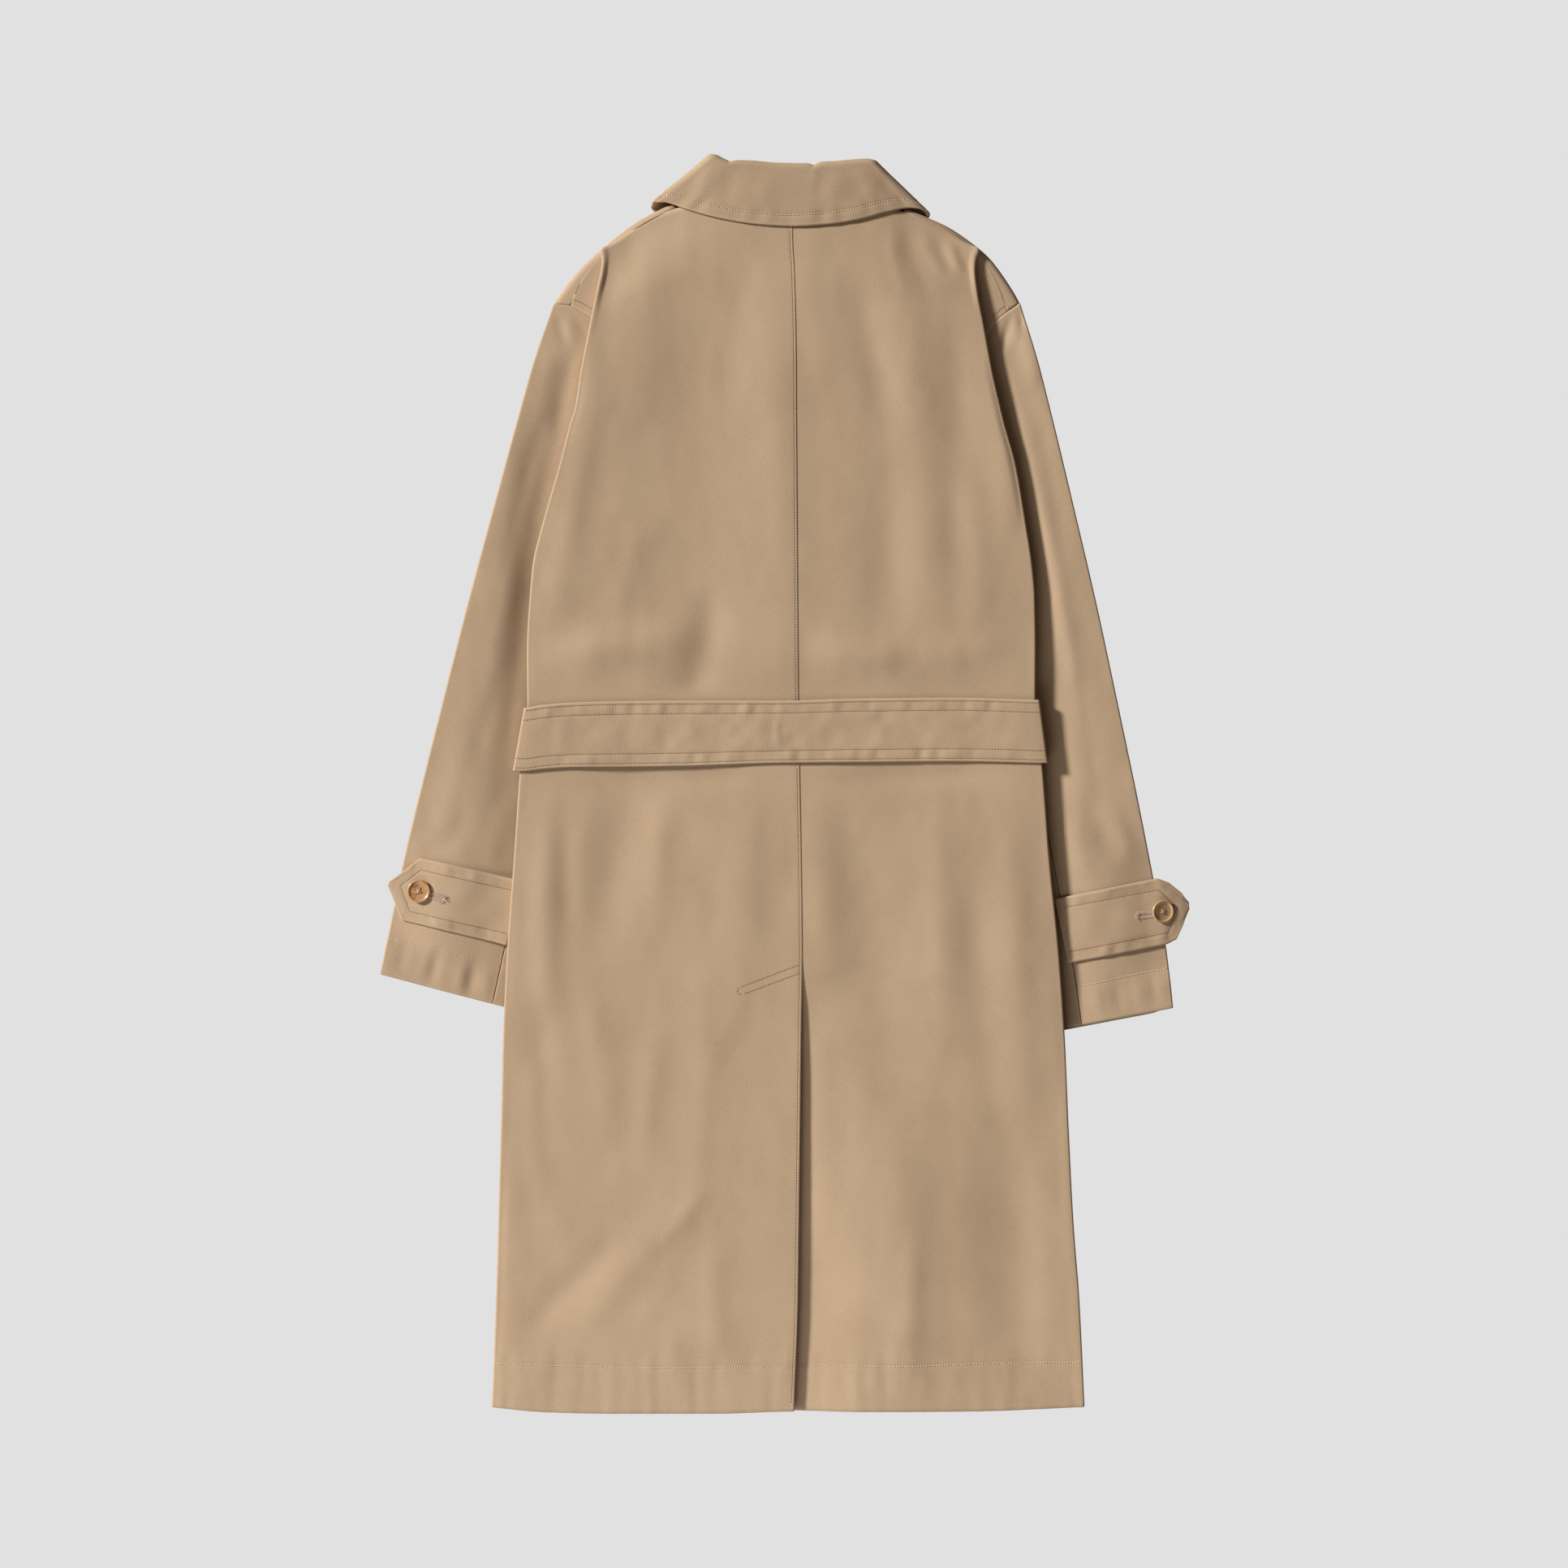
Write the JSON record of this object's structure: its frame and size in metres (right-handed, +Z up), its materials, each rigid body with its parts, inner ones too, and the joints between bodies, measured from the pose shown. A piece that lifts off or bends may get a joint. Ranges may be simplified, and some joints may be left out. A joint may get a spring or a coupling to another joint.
{
  "type": "belted coat",
  "caption": "Knee-length cotton coat laid flat, back up: turned-down collar, belt round the waist, buttoned cuff straps and a vent in the back seam.",
  "frame": {"origin": "centre of the coat's own box, on the surface that it lies on", "axes": "+Z up from the surface, +Y towards the collar, +X towards the coat's right sleeve as seen from above"},
  "size_m": [0.6966, 1.0844, 0.024],
  "materials": {
    "gabardine": "matte cotton twill",
    "horn": "polished horn"
  },
  "bodies": {
    "root": {"back_left": "gabardine", "back_right": "gabardine", "front_left": "gabardine", "front_right": "gabardine", "sleeve_left": "gabardine", "sleeve_right": "gabardine", "cuff_strap_left": "gabardine", "cuff_strap_right": "gabardine", "collar": "gabardine", "collar_stand": "gabardine", "belt": "gabardine", "button_left": "horn", "button_right": "horn"}
  },
  "joints": []
}
